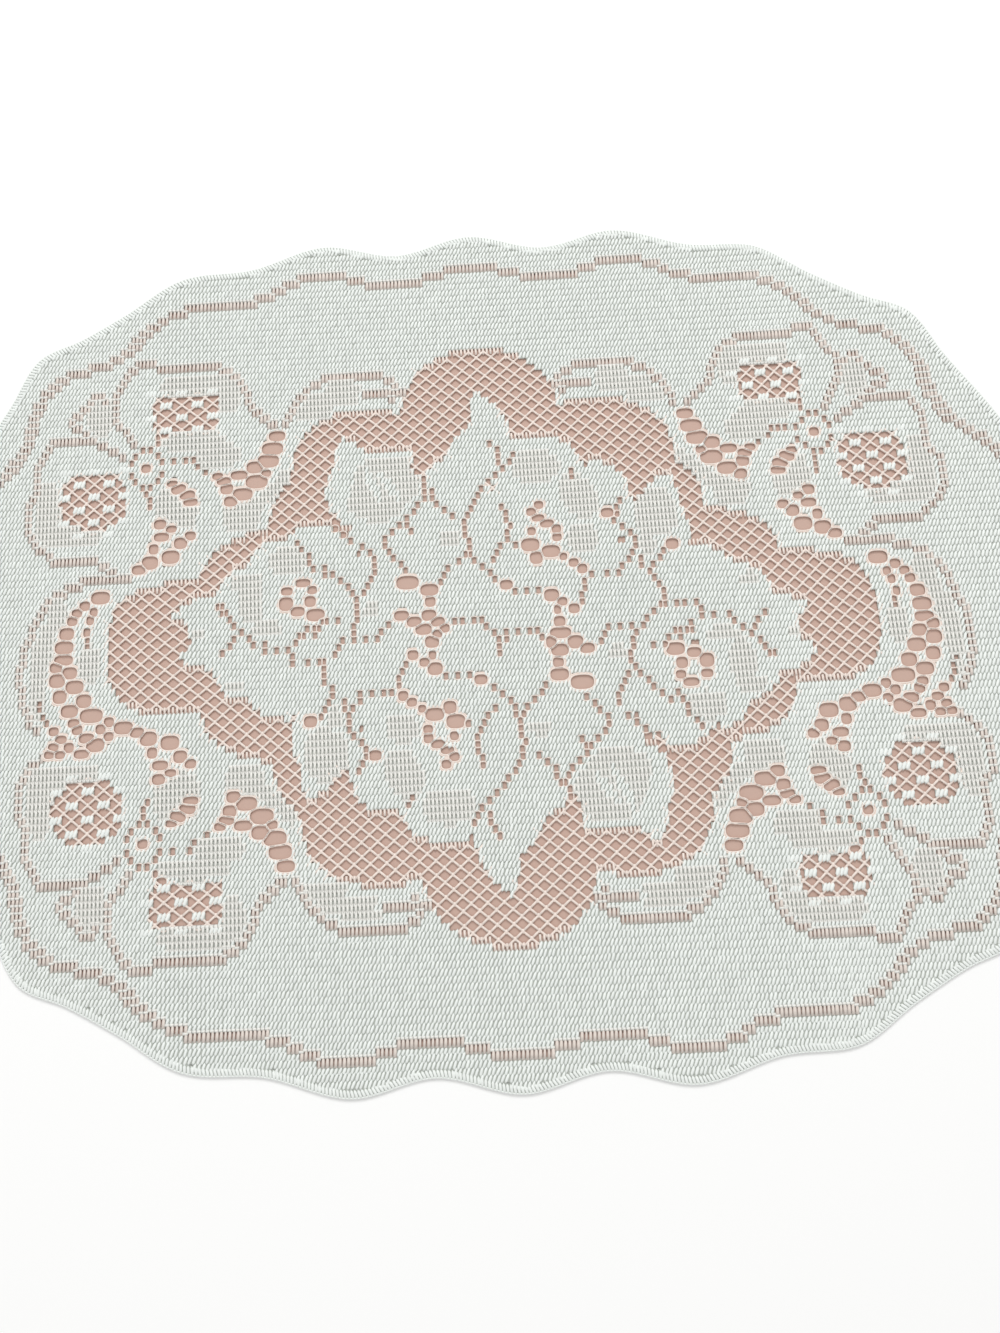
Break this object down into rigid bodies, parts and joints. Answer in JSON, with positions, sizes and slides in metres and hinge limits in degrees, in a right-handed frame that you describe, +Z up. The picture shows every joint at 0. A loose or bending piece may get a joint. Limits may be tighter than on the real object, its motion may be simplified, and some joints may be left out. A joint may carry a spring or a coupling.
{
  "type": "lace table doily",
  "caption": "Flat white lace table doily, wider than deep, with a scalloped edge, a net field round a bouquet and four corner bows.",
  "frame": {"origin": "middle of the bounding box, on the underside that lies on the table", "axes": "+X along the long side, +Y along the short side, +Z up out of the table, with the right side of the lace up"},
  "size_m": [0.406, 0.312, 0.0012],
  "materials": {
    "white_cotton_lace": "matt knitted cotton lace, slightly cool white"
  },
  "bodies": {
    "root": {"lace_doily": "white_cotton_lace"}
  },
  "joints": []
}
